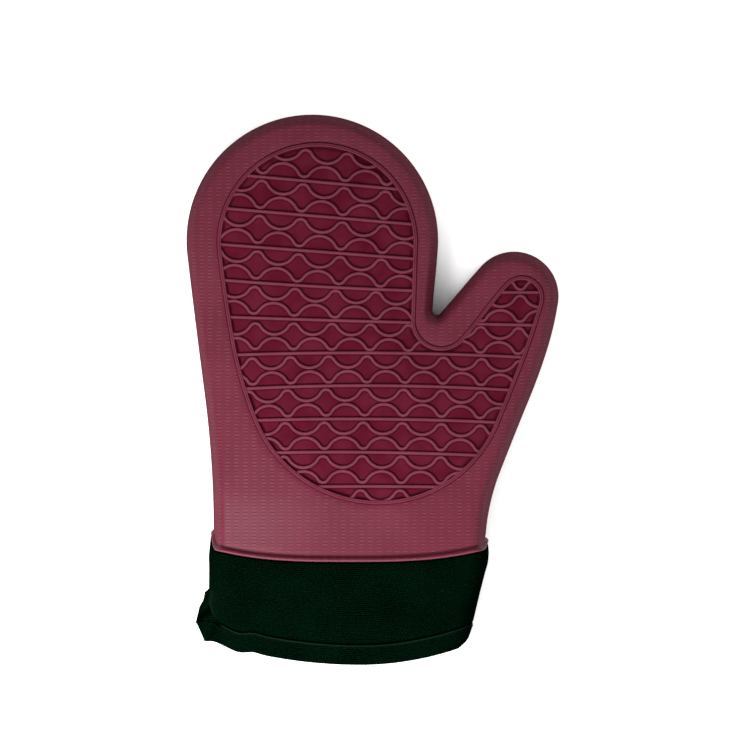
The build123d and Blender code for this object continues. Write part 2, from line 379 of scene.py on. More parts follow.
def palm_swell(points):
    """Gentle swell of the palm at plan points: up from its edge and the heel, down to the wrist."""
    crown = crown_height * (1 - bell(edge_distance(points), crown_reach))
    heel = heel_swell * bell(points[:, 1] - heel_swell_y, heel_swell_reach)
    dip = portion((wrist_dip_start - points[:, 1]) / (wrist_dip_start - wrist_edge_y))
    return crown - crown_drop + heel - wrist_dip * dip**2 * (3 - 2 * dip)


def palm_surface(points):
    """Height of the palm's outer face at plan points."""
    return palm_height(points[:, 1]) + palm_swell(points)


def wrist_edge(x, left, right):
    """Y of the wrist edge of a layer that reaches from left to right there."""
    share = np.clip((2 * x - left - right) / (right - left), -1, 1)
    notch = np.where(share < 0, wrist_notch_left, wrist_notch_right)
    near_seam = portion((np.abs(share) - wrist_notch_start) / (1 - wrist_notch_start))
    return wrist_edge_y + wrist_rise * np.abs(share) ** 3 + notch * near_seam**3


class Surface:
    """Points and faces of a piece, with the values that its material reads at each point."""

    def __init__(self):
        self.points = []
        self.plan = []
        # painted_shading: above 0 painted shade, below 0 painted highlight
        self.painted_shading = []
        self.emboss = []
        self.faces = []

    def add(self, points, plan=None, painted_shading=0.0, emboss=0.0):
        """Adds a row of points and returns their numbers."""
        first = len(self.points)
        points = np.asarray(points, float)
        self.points.extend(points)
        self.plan.extend(points[:, :2] if plan is None else plan)
        self.painted_shading.extend(np.broadcast_to(painted_shading, len(points)))
        self.emboss.extend(np.broadcast_to(emboss, len(points)))
        return np.arange(first, first + len(points))

    def strip(self, one, two, closed=False):
        """Quads between two rows of points."""
        count = len(one) if closed else len(one) - 1
        for k in range(count):
            after = (k + 1) % len(one)
            self.faces.append((one[k], one[after], two[after], two[k]))

    def strips(self, rows, closed=False):
        """Quads between each two neighbouring rows."""
        for one, two in zip(rows, rows[1:]):
            self.strip(one, two, closed)


def fill_points(loop, holes, step):
    """Plan points and triangles that fill a loop round its holes, the loop's points first."""
    edges = []
    loops = [loop, *holes]
    first = 0
    for points in loops:
        numbers = np.arange(first, first + len(points))
        edges += list(zip(numbers.tolist(), np.roll(numbers, -1).tolist()))
        first += len(points)
    low = loop.min(axis=0)
    high = loop.max(axis=0)
    rows = []
    for number, y in enumerate(np.arange(low[1], high[1], step * math.sqrt(0.75))):
        x = np.arange(low[0] + step / 2 * (number % 2), high[0], step)
        rows.append(np.column_stack([x, np.full(len(x), y)]))
    grid = np.concatenate(rows)
    keep = inside(grid, loop)
    for hole in holes:
        keep &= ~inside(grid, hole)
    grid = grid[keep]
    border = np.concatenate(loops)
    nearest = np.full(len(grid), np.inf)
    for point in border:
        nearest = np.minimum(nearest, ((grid - point) ** 2).sum(axis=1))
    grid = grid[nearest > (0.6 * step) ** 2]
    points = np.concatenate([border, grid])
    made = delaunay_2d_cdt([Vector(p) for p in points], edges, [], 0, 1e-7)
    source = [group[0] for group in made[3]]
    triangles = np.array([[source[v] for v in face] for face in made[2]])
    centers = points[triangles].mean(axis=1)
    keep = inside(centers, loop)
    for hole in holes:
        keep &= ~inside(centers, hole)
    return points, triangles[keep]


def roll_profile(roll, power, rows):
    """Inset and share of the half height along the rolled edge, from the seam to the flat."""
    angles = np.linspace(0, math.pi / 2, rows)
    insets = roll * (1 - np.abs(np.cos(angles)) ** (2 / power))
    return insets, np.abs(np.sin(angles)) ** (2 / power)


def end_at_wrist(line, lift, inset):
    """Moves both ends of an outline row to its layer's wrist edge and spreads the points beside them."""
    line = line.copy()
    left = wrist_left_x + inset
    right = wrist_right_x - inset
    half = len(line) // 2
    for order in (slice(None, half), slice(None, half, -1)):
        part = line[order]
        count = int(np.argmax(part[:, 1] > wrist_remap_y))
        near = part[: count + 1].copy()
        start = wrist_edge(near[0, 0], left, right) + lift
        y = start + (near[-1, 1] - start) * np.linspace(0, 1, count + 1)
        part[: count + 1, 0] = np.interp(y, near[:, 1], near[:, 0])
        part[: count + 1, 1] = y
    return line


def face_of_layer(surface, side, inset, lift, step, emboss=0.0, panel=None):
    """One face of a layer's palm half (side 1) or back half (side -1): its rows and its wrist row."""
    roll = max(roll_width - inset, least_roll)
    insets, shares = roll_profile(roll, roll_power, roll_rows)
    arc = np.concatenate([[0], np.cumsum(np.hypot(np.diff(insets), roll_half_height * np.diff(shares)))])
    unrolled = roll - (arc[-1] - arc)
    rows = []
    lines = []
    for number, (d, share) in enumerate(zip(insets, shares)):
        line = end_at_wrist(points_at(SHELL, SHELL_MARKS, inset + d), lift, inset)
        middle = palm_height(line[:, 1]) / 2
        seam = seam_half_width if inset == 0 else layer_seam
        z = middle + side * (seam + (middle - inset - seam) * share)
        if side > 0:
            z = z + palm_swell(line) * share
        plan = end_at_wrist(points_at(SHELL, SHELL_MARKS, inset + unrolled[number]), lift, inset)
        grain = emboss * np.interp(number, grain_rows, (side_grain, 1.0))
        # The row at the seam carries painted shade
        rows.append(surface.add(np.column_stack([line, z]), plan, seam_painted_shade * (number == 0), grain))
        lines.append(line)
    surface.strips(rows)
    flat = lines[-1]
    x = np.linspace(flat[0, 0], flat[-1, 0], wrist_steps + 1)[1:-1]
    edge = wrist_edge(x, wrist_left_x + inset, wrist_right_x - inset)
    wrist = np.column_stack([x, edge + lift])
    loop = np.concatenate([flat, wrist[::-1]])
    points, triangles = fill_points(loop, [] if panel is None else [panel], step)
    if side > 0:
        z = palm_surface(points) - inset
    else:
        z = np.full(len(points), inset)
    added = np.column_stack([points, z])[len(flat) :]
    filled = np.concatenate([rows[-1], surface.add(added, None, 0.0, emboss)])
    surface.faces.extend(map(tuple, filled[triangles]))
    left = [row[0] for row in rows]
    right = [row[-1] for row in rows]
    across = filled[len(flat) : len(loop)][::-1]
    return rows, np.concatenate([left, across, right[::-1]])


def wrist_strip(surface, outer, inner, profile):
    """Edge of a layer at the wrist, swept along its wrist row: steps up the hand, height and painted
    shading.
    """
    base = np.array([surface.points[k] for k in outer])
    side = 1 if base[len(base) // 2, 2] > base[0, 2] else -1
    along = np.gradient(base[:, [0, 2]], axis=0)
    along[0] = (0, side)
    along[-1] = (0, -side)
    normal = np.column_stack([-along[:, 1], along[:, 0]]) * side
    normal /= np.hypot(*normal.T)[:, None]
    rows = [outer]
    lift = profile[0][0]
    for up, height, painted_shading in profile[1:]:
        points = base.copy()
        points[:, 1] += up - lift
        points[:, 2] += np.where(side > 0, top_slope * (lift - up), 0)
        points[:, 0] += normal[:, 0] * height
        points[:, 2] += normal[:, 1] * height
        points[:, 2] = np.maximum(points[:, 2], 0)
        rows.append(surface.add(points, None, painted_shading, bead_grain))
    rows.append(inner)
    surface.strips(rows)


# Profile of the shell's wrist bead: distance up the hand, height off the face, and painted shading: painted
# shade in the groove above it and under it, painted highlight on its crest and lower side where below 0
SHELL_WRIST = [
    (wrist_lift, 0.0, 0.0),
    (3.95, -0.1, 0.35),
    (3.55, -0.4, 0.95),
    (3.15, -0.5, 1.0),
    (2.8, -0.3, 0.9),
    (2.4, 0.3, 0.5),
    (1.9, 0.9, 0.25),
    (1.4, 1.3, 0.05),
    (0.95, 1.5, -0.25),
    (0.55, 1.4, -0.6),
    (0.2, 1.0, -0.45),
    (0.03, 0.4, 0.2),
    (0.0, -0.3, 0.6),
    (0.05, -1.3, 0.9),
    (0.5, -1.9, 0.9),
]
# Profile of the lining's bound edge, in the same terms
LINING_WRIST = [
    (liner_setback, 0.0, 0.0),
    (3.5, 2.6, 0.0),
    (2.9, 2.6, 0.0),
    (2.6, 1.4, 0.0),
    (2.7, 0.0, 0.0),
    (3.2, -0.8, 0.0),
]

bead_grain = 0.9
rim_grain_end = -1.4
# Profile of the panel's rim: offset inwards, height off the palm, and painted shading (above 0 painted shade
# in its grooves, below 0 painted highlight on its crest)
RIM = [
    (-1.75, 0.0, 0.0),
    (-1.5, -0.1, 0.45),
    (-1.25, -0.1, 0.8),
    (-1.08, 0.25, 0.4),
    (-0.92, 0.62, -0.1),
    (-0.62, 0.78, -0.4),
    (-0.25, 0.7, -0.1),
    (0.25, 0.7, -0.1),
    (0.62, 0.78, -0.45),
    (0.92, 0.6, -0.1),
    (1.08, 0.0, 0.6),
    (1.2, -0.8, 1.0),
    (1.5, -1.15, 1.0),
    (2.1, -1.1, 0.95),
    (2.6, -0.95, 0.5),
    (3.2, -0.9, 0.22),
]

# Half profile of a rib: offset from its middle line, height off the floor, and painted shading (above 0
# painted shade at its foot, below 0 painted highlight on its top)
RIB = [
    (1.95, -0.06, 0.3),
    (1.55, 0.02, 0.75),
    (1.12, 0.05, 1.0),
    (0.98, 0.4, 0.7),
    (0.82, 0.9, -0.05),
    (0.5, 1.1, -0.36),
    (0.0, 1.14, -0.42),
]


def rim(surface):
    """Raised rim of the grip panel and its floor."""
    rows = []
    for offset, height, painted_shading in RIM:
        line = points_at(PANEL, PANEL_MARKS, offset)
        z = palm_surface(line) + height
        grain = float(offset < rim_grain_end)
        rows.append(surface.add(np.column_stack([line, z]), None, painted_shading, grain))
    surface.strips(rows, closed=True)
    points, triangles = fill_points(points_at(PANEL, PANEL_MARKS, RIM[-1][0]), [], fill_step)
    z = palm_surface(points) - groove_depth
    # The recessed floor carries the rim's last painted shade, which darkens it as shade in the recess
    filled = surface.add(np.column_stack([points, z]), None, RIM[-1][2])
    surface.faces.extend(map(tuple, filled[triangles]))


def arc_points(piece, turn):
    """Points along an arc, its end left out."""
    count = math.ceil(abs(piece.sweep) / turn)
    angles = piece.start + piece.sweep * np.arange(count) / count
    return [piece.center + unit(angle) * piece.radius for angle in angles]


def wave_line(peak_x, pitch, height, flip):
    """Wave along X with narrow peaks and wide hollows, over the whole width."""
    slant = 2 * math.degrees(math.atan(2 * height / pitch))
    both_radii = pitch / 2 / math.sin(math.radians(slant))
    narrow = wave_narrow_share * both_radii
    wide = both_radii - narrow
    peak_y = wave_spacing / 2 + height - narrow
    hollow_y = wave_spacing / 2 + wide
    reach = math.ceil(rib_reach / pitch)
    points = []
    for period in range(-reach, reach):
        peak = np.array([peak_x + period * pitch, flip * peak_y])
        hollow = np.array([peak_x + (period + 0.5) * pitch, flip * hollow_y])
        points += arc_points(Bend(peak, narrow, flip * (90 + slant), -2 * flip * slant), wave_turn)
        points += arc_points(Bend(hollow, wide, -flip * (90 + slant), 2 * flip * slant), wave_turn)
    return np.array(points)


def rib_height(number, x):
    """Y of a straight rib at X."""
    row = RIB_ROWS[number]
    along = x - rib_middle_x
    return row.y + row.slope * along + row.curve * along**2


def on_row(number, wave):
    """Wave points laid along the line midway between a straight rib and the next."""
    x, y = wave.T
    middle = (rib_height(number, x) + rib_height(number + 1, x)) / 2
    slope = np.gradient(middle, x)
    return np.column_stack([x - slope * y, middle + y])


def rib_lines():
    """Middle lines of all straight ribs and wave ribs, reaching past the panel on both sides."""
    lines = []
    x = np.arange(-rib_reach, rib_reach, rib_step)
    for number in range(1, len(RIB_ROWS) - 1):
        lines.append(np.column_stack([x, rib_height(number, x)]))
    for number, row in enumerate(RIB_ROWS[:-1]):
        for flip in (1, -1):
            wave = wave_line(row.wave_x, row.wave_pitch, row.wave_height, flip)
            if number in THUMB_WAVES:
                lines.append(on_row(number, wave[wave[:, 0] < hand_wave_x]))
                wave = wave_line(*THUMB_WAVES[number], flip)
                wave = wave[wave[:, 0] > thumb_wave_x] + np.array([0, THUMB_LIFT[number]])
            lines.append(on_row(number, wave))
    return lines


def crossing(within, without):
    """Point between the two where the line from one to the other meets the rim's middle."""
    for _ in range(12):
        middle = (within + without) / 2
        if inside(middle[None], PANEL_LINE)[0]:
            within = middle
        else:
            without = middle
    return within


def clipped(line):
    """Stretches of a rib's middle line inside the rim."""
    within = inside(line, PANEL_LINE)
    stretches = []
    current = []
    for k in range(1, len(line)):
        if within[k] and not within[k - 1]:
            current = [crossing(line[k], line[k - 1])]
        if within[k]:
            current.append(line[k])
        if within[k - 1] and not within[k]:
            current.append(crossing(line[k - 1], line[k]))
            stretches.append(np.array(current))
    return stretches


def rib(surface, line):
    """One rib swept along its middle line, with closed ends."""
    along = np.gradient(line, axis=0)
    along /= np.hypot(*along.T)[:, None]
    across = np.column_stack([-along[:, 1], along[:, 0]])
    profile = RIB + [(-offset, height, painted_shading) for offset, height, painted_shading in RIB[-2::-1]]
    rows = []
    for offset, height, painted_shading in profile:
        points = line + across * offset
        z = palm_surface(points) - groove_depth + height
        rows.append(surface.add(np.column_stack([points, z]), None, painted_shading))
    low = [line + across * offset for offset in (profile[-1][0], profile[0][0])]
    for points in low:
        z = palm_surface(points) - groove_depth - rib_root
        # The sunk feet carry full painted shade
        rows.append(surface.add(np.column_stack([points, z]), None, 1.0))
    surface.strips(rows + rows[:1])
    surface.faces.append(tuple(row[0] for row in rows))
    surface.faces.append(tuple(row[-1] for row in rows))


def half_layer(side, inset, thickness, lift, step, profile=None):
    """Palm half (side 1) or back half (side -1) of a layer of the mitt, closed all round."""
    surface = Surface()
    is_shell = inset == 0
    panel = points_at(PANEL, PANEL_MARKS, RIM[0][0]) if is_shell and side > 0 else None
    outer, outer_wrist = face_of_layer(surface, side, inset, lift, step, 1.0 * is_shell, panel)
    inner_step = step if side < 0 else 2 * step
    inner, inner_wrist = face_of_layer(surface, side, inset + thickness, lift, inner_step)
    seam_rows = [outer[0]]
    if is_shell:
        line = end_at_wrist(points_at(SHELL, SHELL_MARKS, seam_depth), lift, inset)
        z = palm_height(line[:, 1]) / 2 + side * seam_floor
        # The seam's groove carries full painted shade
        seam_rows.append(surface.add(np.column_stack([line, z]), None, 1.0))
    seam_rows.append(inner[0])
    surface.strips(seam_rows)
    wrist_strip(surface, outer_wrist, inner_wrist, profile or [(lift, 0.0, 0.0)])
    if panel is not None:
        rim(surface)
        for line in rib_lines():
            for stretch in clipped(line):
                rib(surface, stretch)
    return surface


def build_mesh(surface):
    """Mesh of a surface in metres, with its values, joined where points coincide."""
    mesh = bpy.data.meshes.new("surface")
    points = np.array(surface.points) * MM
    mesh.from_pydata(points.tolist(), [], [tuple(map(int, face)) for face in surface.faces])
    plan = np.column_stack([np.array(surface.plan), np.zeros(len(points))])
    mesh.attributes.new("plan", "FLOAT_VECTOR", "POINT").data.foreach_set("vector", plan.ravel())
    for name, values in (("painted_shading", surface.painted_shading), ("emboss", surface.emboss)):
        mesh.attributes.new(name, "FLOAT", "POINT").data.foreach_set("value", np.array(values, float))
    made = bmesh.new()
    made.from_mesh(mesh)
    bpy.data.meshes.remove(mesh)
    bmesh.ops.remove_doubles(made, verts=made.verts, dist=1e-7)
    bmesh.ops.recalc_face_normals(made, faces=made.faces)
    return made


def make_piece(name, made, material):
    """Object of a finished mesh, shaded smooth."""
    normals = made.verts.layers.float_vector.get("rest_normal")
    mesh = bpy.data.meshes.new(name)
    made.to_mesh(mesh)
    made.free()
    mesh.shade_smooth()
    if normals is not None:
        kept = np.empty(len(mesh.vertices) * 3)
        mesh.attributes["rest_normal"].data.foreach_get("vector", kept)
        mesh.normals_split_custom_set_from_vertices(kept.reshape(-1, 3).tolist())
        mesh.attributes.remove(mesh.attributes["rest_normal"])
    mesh.materials.append(material)
    piece = bpy.data.objects.new(name, mesh)
    bpy.context.scene.collection.objects.link(piece)
    return piece


def split_thumb(made):
    """The mesh without its thumb, and its thumb, cut along the thumb's fold line."""
    origin = Vector((*fold_origin, 0)) * MM
    across = Vector((*unit(thumb_fold_heading + 90), 0))
    faces = [f for f in made.faces if min(v.co.x for v in f.verts) > origin.x]
    edges = {e for f in faces for e in f.edges}
    verts = {v for f in faces for v in f.verts}
    bmesh.ops.bisect_plane(
        made, geom=[*verts, *edges, *faces], plane_co=origin, plane_no=across, dist=1e-7
    )
    made.normal_update()
    layer = made.verts.layers.float_vector.new("rest_normal")
    for v in made.verts:
        v[layer] = v.normal
    for f in made.faces:
        offset = f.calc_center_median() - origin
        f.tag = offset.x > max(0.0, finger_edge_lean * offset.y) and offset.dot(across) > 0
    tags = [f.tag for f in made.faces]
    parts = []
    for wanted in (False, True):
        part = made.copy()
        other = [f for f, tag in zip(part.faces, tags) if tag != wanted]
        bmesh.ops.delete(part, geom=other, context="FACES")
        open_edges = [e for e in part.edges if e.is_boundary]
        bmesh.ops.holes_fill(part, edges=open_edges, sides=0)
        parts.append(part)
    made.free()
    return parts


def bend_with_hand(piece):
    """Bakes a piece's placement into its mesh."""
    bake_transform(piece)


def node(tree, kind, inputs=None, **settings):
    """Adds a shader node; an input is a value or another node's output."""
    made = tree.nodes.new("ShaderNode" + kind)
    for key, value in settings.items():
        setattr(made, key, value)
    for key, value in (inputs or {}).items():
        if isinstance(value, bpy.types.NodeSocket):
            tree.links.new(value, made.inputs[key])
        else:
            made.inputs[key].default_value = value
    return made


def calc(tree, operation, *values):
    """Output of a math node."""
    return node(tree, "Math", dict(enumerate(values)), operation=operation).outputs[0]


def ramp(tree, value, low, high, to_low=0.0, to_high=1.0):
    """Value moved from one range to another, held at its ends."""
    inputs = {"Value": value, "From Min": low, "From Max": high, "To Min": to_low, "To Max": to_high}
    return node(tree, "MapRange", inputs).outputs[0]


def mix_color(tree, factor, one, two):
    """Mix of two colours."""
    made = node(tree, "Mix", data_type="RGBA", blend_type="MIX")
    for key, value in (("Factor_Float", factor), ("A_Color", one), ("B_Color", two)):
        socket = next(s for s in made.inputs if s.identifier == key)
        if isinstance(value, bpy.types.NodeSocket):
            tree.links.new(value, socket)
        else:
            socket.default_value = value
    return next(s for s in made.outputs if s.identifier == "Result_Color")


def point_value(tree, name, output="Fac"):
    """Value that a piece holds at each of its points."""
    return node(tree, "Attribute", attribute_name=name).outputs[output]


def cloudy(tree, plan, scale, detail):
    """Noise over a piece's plan."""
    return node(tree, "TexNoise", {"Vector": plan, "Scale": scale, "Detail": detail}).outputs["Fac"]


def start_material(name):
    """New material, with its node tree and its shader."""
    material = bpy.data.materials.new(name)
    material.use_nodes = True
    return material, material.node_tree, material.node_tree.nodes["Principled BSDF"]


# Grain of the silicone: size of a dash's cell, share left on the sides, and the edge rows it fades over
grain_width = 4.85
grain_length = 1.87
side_grain = 0.55
grain_rows = (2, 9)


def silicone():
    """Matt moulded silicone: columns of short raised dashes, painted lighter on their tops and darker
    between them, with painted shade in the creases and painted highlights on rib tops, the rim's crest and
    the bead.
    """
    material, tree, shader = start_material("silicone")
    plan = point_value(tree, "plan", "Vector")
    grain = point_value(tree, "emboss")
    painted_shading = point_value(tree, "painted_shading")
    place = node(tree, "SeparateXYZ", {0: plan}).outputs
    patches = cloudy(tree, plan, 0.11, 2.0)
    width = calc(tree, "MULTIPLY_ADD", patches, 2.4, place[0])
    length = calc(tree, "MULTIPLY_ADD", patches, 1.2, place[1])
    columns = calc(tree, "COSINE", calc(tree, "MULTIPLY", width, 2 * math.pi / grain_width))
    rows = calc(tree, "COSINE", calc(tree, "MULTIPLY", length, 2 * math.pi / grain_length))
    flecks = calc(tree, "MULTIPLY", rows, calc(tree, "MULTIPLY_ADD", columns, 0.55, 0.45))
    broken = cloudy(tree, plan, 0.3, 1.0)
    flecks = calc(tree, "MULTIPLY", flecks, ramp(tree, broken, 0.36, 0.62, 0.25, 1.1))
    flecks = calc(tree, "MULTIPLY", flecks, ramp(tree, grain, side_grain, 0.75))
    cloud = cloudy(tree, plan, 0.03, 3.0)
    cloud = ramp(tree, cloud, 0.35, 0.65)
    fine = cloudy(tree, plan, 1.6, 2.0)
    blotch = cloudy(tree, plan, 0.07, 2.0)
    blotch = ramp(tree, blotch, 0.35, 0.65)
    # The grained colour is paler and greyer than the smooth one: painted sheen on the grained faces
    smooth_color = mix_color(tree, blotch, (0.122, 0.0036, 0.0200, 1), (0.160, 0.0120, 0.0335, 1))
    sheened_grain_color = mix_color(tree, cloud, (0.150, 0.0185, 0.0375, 1), (0.176, 0.0255, 0.0485, 1))
    color = mix_color(tree, grain, smooth_color, sheened_grain_color)
    # Painted highlight on the dashes' crests and painted shade in the rows between them, following their
    # relief
    color = mix_color(tree, calc(tree, "MULTIPLY", flecks, -0.36), color, (0.080, 0.002, 0.010, 1))
    color = mix_color(tree, calc(tree, "MULTIPLY", flecks, 0.32), color, (0.310, 0.110, 0.140, 1))
    # Painted shade towards dark red where the painted shading is above 0, painted highlight towards pale
    # pink where it is below 0
    painted_shade = calc(tree, "MINIMUM", calc(tree, "MAXIMUM", painted_shading, 0.0), 1.0)
    painted_highlight = calc(tree, "MAXIMUM", calc(tree, "MULTIPLY", painted_shading, -1.0), 0.0)
    color = mix_color(tree, calc(tree, "MULTIPLY", painted_shade, 0.9), color, (0.055, 0.0008, 0.006, 1))
    color = mix_color(tree, painted_highlight, color, (0.330, 0.110, 0.160, 1))
    rough = calc(tree, "MULTIPLY_ADD", fine, 0.1, ramp(tree, grain, side_grain, 1.0, 0.95, 0.36))
    relief = calc(tree, "MULTIPLY_ADD", fine, 0.25, flecks)
    bump = node(tree, "Bump", {"Height": relief, "Strength": 0.5, "Distance": 0.00008})
    tree.links.new(color, shader.inputs["Base Color"])
    tree.links.new(rough, shader.inputs["Roughness"])
    tree.links.new(bump.outputs[0], shader.inputs["Normal"])
    shader.inputs["Specular IOR Level"].default_value = 0.16
    return material


def scaled(color, factor):
    """Colour made lighter or darker."""
    return (*[min(1.0, factor * part) for part in color[:3]], 1)


def woven(name, light, dark, rib_size, yarn_size, roughness, depth):
    """Woven cloth: weft ribs across the piece, crossed by finer warp yarns, with a little lint and pale
    fuzz, painted shade in its creases and painted highlights on its ridges.
    """
    material, tree, shader = start_material(name)
    plan = point_value(tree, "plan", "Vector")
    painted_shading = point_value(tree, "painted_shading")
    place = node(tree, "SeparateXYZ", {0: plan}).outputs
    wobble = cloudy(tree, plan, 0.12, 2.0)
    length = calc(tree, "MULTIPLY_ADD", wobble, 0.8, place[1])
    weft = calc(tree, "SINE", calc(tree, "MULTIPLY", length, 2 * math.pi / rib_size))
    phase = calc(tree, "FLOOR", calc(tree, "DIVIDE", length, rib_size))
    shift = calc(tree, "MULTIPLY", phase, math.pi)
    warp = calc(tree, "SINE", calc(tree, "MULTIPLY_ADD", place[0], 2 * math.pi / yarn_size, shift))
    relief = calc(tree, "MULTIPLY_ADD", warp, 0.45, weft)
    fuzz = cloudy(tree, plan, 2.2, 4.0)
    relief = calc(tree, "MULTIPLY_ADD", fuzz, 1.2, relief)
    cloud = cloudy(tree, plan, 0.05, 4.0)
    cloud = ramp(tree, cloud, 0.3, 0.7, -0.05, 0.25)
    tone = calc(tree, "MULTIPLY_ADD", ramp(tree, relief, -0.3, 1.6), 0.8, cloud)
    color = mix_color(tree, tone, dark, light)
    specks = node(tree, "TexVoronoi", {"Vector": plan, "Scale": 0.11, "Randomness": 1.0}).outputs["Distance"]
    lint = ramp(tree, specks, 0.025, 0.055, 0.5, 0.0)
    color = mix_color(tree, lint, color, scaled(light, 5.0))
    # Pale colour of the fuzz, also used for painted highlights
    fuzz_and_highlight = scaled(light, 3.0)
    fuzz_and_highlight = (fuzz_and_highlight[0] + 0.4 * fuzz_and_highlight[1], fuzz_and_highlight[1], fuzz_and_highlight[2] + 0.25 * fuzz_and_highlight[1], 1)
    flock = cloudy(tree, plan, 1.1, 2.0)
    color = mix_color(tree, ramp(tree, flock, 0.52, 0.75, 0.0, 0.4), color, fuzz_and_highlight)
    # Painted shade where the painted shading is above 0, painted highlight in the pale colour where it is
    # below 0
    color = mix_color(tree, painted_shading, color, scaled(dark, 0.2))
    color = mix_color(tree, calc(tree, "MULTIPLY", painted_shading, -1.0), color, fuzz_and_highlight)
    bump = node(tree, "Bump", {"Height": relief, "Strength": 0.6, "Distance": depth})
    tree.links.new(color, shader.inputs["Base Color"])
    tree.links.new(bump.outputs[0], shader.inputs["Normal"])
    shader.inputs["Roughness"].default_value = roughness
    shader.inputs["Specular IOR Level"].default_value = 0.0
    return material


def felt():
    """Soft batting of matted fibres."""
    material, tree, shader = start_material("batting")
    plan = point_value(tree, "plan", "Vector")
    fibres = node(tree, "TexNoise", {"Vector": plan, "Scale": 0.9, "Detail": 6.0, "Distortion": 1.5})
    color = mix_color(tree, fibres.outputs["Fac"], (0.68, 0.66, 0.62, 1), (0.86, 0.85, 0.82, 1))
    bump = node(tree, "Bump", {"Height": fibres.outputs["Fac"], "Strength": 0.7, "Distance": 0.0006})
    tree.links.new(color, shader.inputs["Base Color"])
    tree.links.new(bump.outputs[0], shader.inputs["Normal"])
    shader.inputs["Roughness"].default_value = 0.95
    return material


# Cuff: depths run down from the wrist edge, and shares from that edge to the mouth
cuff_points = 220
cuff_reach = 56.0
cuff_around = 376.0
cuff_roll_power = 2.3
cuff_roll_rows = 14
tuck_inset = 2.3
floor_gap = 0.4
hem_floor_gap = 0.3
cuff_tuck_rows = 4
cuff_rows = 36
facing_rows = 14
facing_flap = 0.35
mouth_middle = np.array([-6.8, -150.0])
mouth_rise_left = 0.0019
mouth_rise_right = 0.0031
hem_depth = 10.3
hem_step = 0.45
hem_edge = 0.5
hem_crease_depth = 0.25
hem_fold_offset = 0.45
hem_fold_width = 0.42
# Painted highlight below the hem's fold, as a share of the shading
hem_fold_light = 0.75
stitch_dent = 0.28
stitch_dent_width = 0.6
stitch_depth = 9.4
stitch_length = 3.0
stitch_pitch = 3.7
stitch_radius = 0.26
stitch_sides = 8
STITCH_SHARES = np.array([0.0, 0.06, 0.2, 0.5, 0.8, 0.94, 1.0])
STITCH_WIDTHS = np.array([0.15, 0.6, 0.95, 1.0, 0.95, 0.6, 0.15])

CuffSection = namedtuple("CuffSection", "below left right bottom top roll_left roll_right")
# Sections of the cuff by depth below the wrist edge
CUFF_SECTIONS = [
    CuffSection(-14.0, wrist_left_x + tuck_inset, wrist_right_x - tuck_inset, tuck_inset, 40.2, 5.0, 5.0),
    CuffSection(0.1, wrist_left_x + tuck_inset, wrist_right_x - tuck_inset, tuck_inset, 40.2, 5.5, 5.5),
    CuffSection(0.5, -87.4, 62.3, 1.9, 41.6, 7.0, 7.0),
    CuffSection(1.6, -88.4, 63.2, 1.8, 42.3, 8.0, 8.0),
    CuffSection(6.0, -88.9, 63.6, 1.6, 43.2, 10.0, 11.0),
    CuffSection(12.0, -89.5, 63.2, 1.5, 43.4, 10.0, 12.0),
    CuffSection(17.0, -89.3, 61.8, 1.5, 43.3, 9.0, 13.0),
    CuffSection(29.0, -89.4, 58.8, 1.5, 42.2, 6.0, 13.0),
    CuffSection(34.0, -90.0, 57.6, 1.4, 41.3, 5.0, 13.0),
    CuffSection(39.0, -88.8, 56.4, 1.4, 40.4, 5.0, 13.0),
    CuffSection(43.0, -86.4, 55.4, 1.3, 39.6, 5.0, 13.0),
    CuffSection(45.0, -84.0, 54.9, 1.3, 39.3, 5.0, 13.0),
    CuffSection(46.6, -86.0, 54.4, 1.3, 39.0, 6.0, 13.0),
    CuffSection(52.5, -88.5, 52.2, 1.2, 38.3, 8.0, 12.0),
    CuffSection(54.6, -89.5, 50.3, 1.2, 38.1, 9.0, 12.0),
    CuffSection(56.0, -90.0, 47.6, 1.2, 38.0, 9.0, 12.0),
]
# X of the crumpled back of the cuff where it stands out past the palm side at the left corner, by Y
FLAP_Y = [-150.0, -138.7, -127.1, -122.6, -118.6, -115.3, -111.0, -109.3]
FLAP_X = [-89.0, -91.5, -96.6, -95.5, -94.6, -92.4, -91.8, -89.5]
flap_zone = 18.0
flap_fade = 12.0
flap_full_reach = 3.0
SWAY_SCALE = (0.018, 0.035, 0.02)
sway_height = 1.4
sway_share_below = 0.25
slack_start = 8.0
slack_length = 20.0
crease_width = 1.7
crease_drop = 3.0
ridge_end_y = -128.0
ridge_fade = 6.0
# Painted highlight on the flap's ridge, as a share of the shading
ridge_light = 0.55
# Levels of the cuff's folds, as shares of its height: where each stands or ends, and how wide it fades
flap_level = 0.72
flap_level_fade = 0.3
crease_level = 0.8
crease_level_fade = 0.08
ridge_level = 0.84
ridge_level_width = 0.09
hem_level = 0.85
hem_level_fade = 0.1
CREASE_START = np.array([-88.5, -120.2])
CREASE_END = np.array([-97.0, -127.0])
Dent = namedtuple("Dent", "x y width length depth")
DENT = Dent(20.0, -117.0, 32.0, 13.0, 7.0)
# Ripples of the mouth: middle X, width and height
MOUTH_RIPPLES = [(-95.0, 5.0, -2.2), (-86.0, 4.0, 0.8), (-73.5, 5.5, -1.4), (-64.5, 4.0, 0.6)]
# crease holds a row's painted shading: painted shade in creases, painted highlight on the ridge
CuffRow = namedtuple("CuffRow", "points crease to_mouth hem_share")


def mouth_edge(x):
    """Y of the cuff's mouth, which droops a little unevenly."""
    from_middle = x - mouth_middle[0]
    rise = np.where(from_middle < 0, mouth_rise_left, mouth_rise_right) * from_middle**2
    edge = mouth_middle[1] + rise
    for middle, width, height in MOUTH_RIPPLES:
        edge = edge + height * bell(x - middle, width)
    return edge


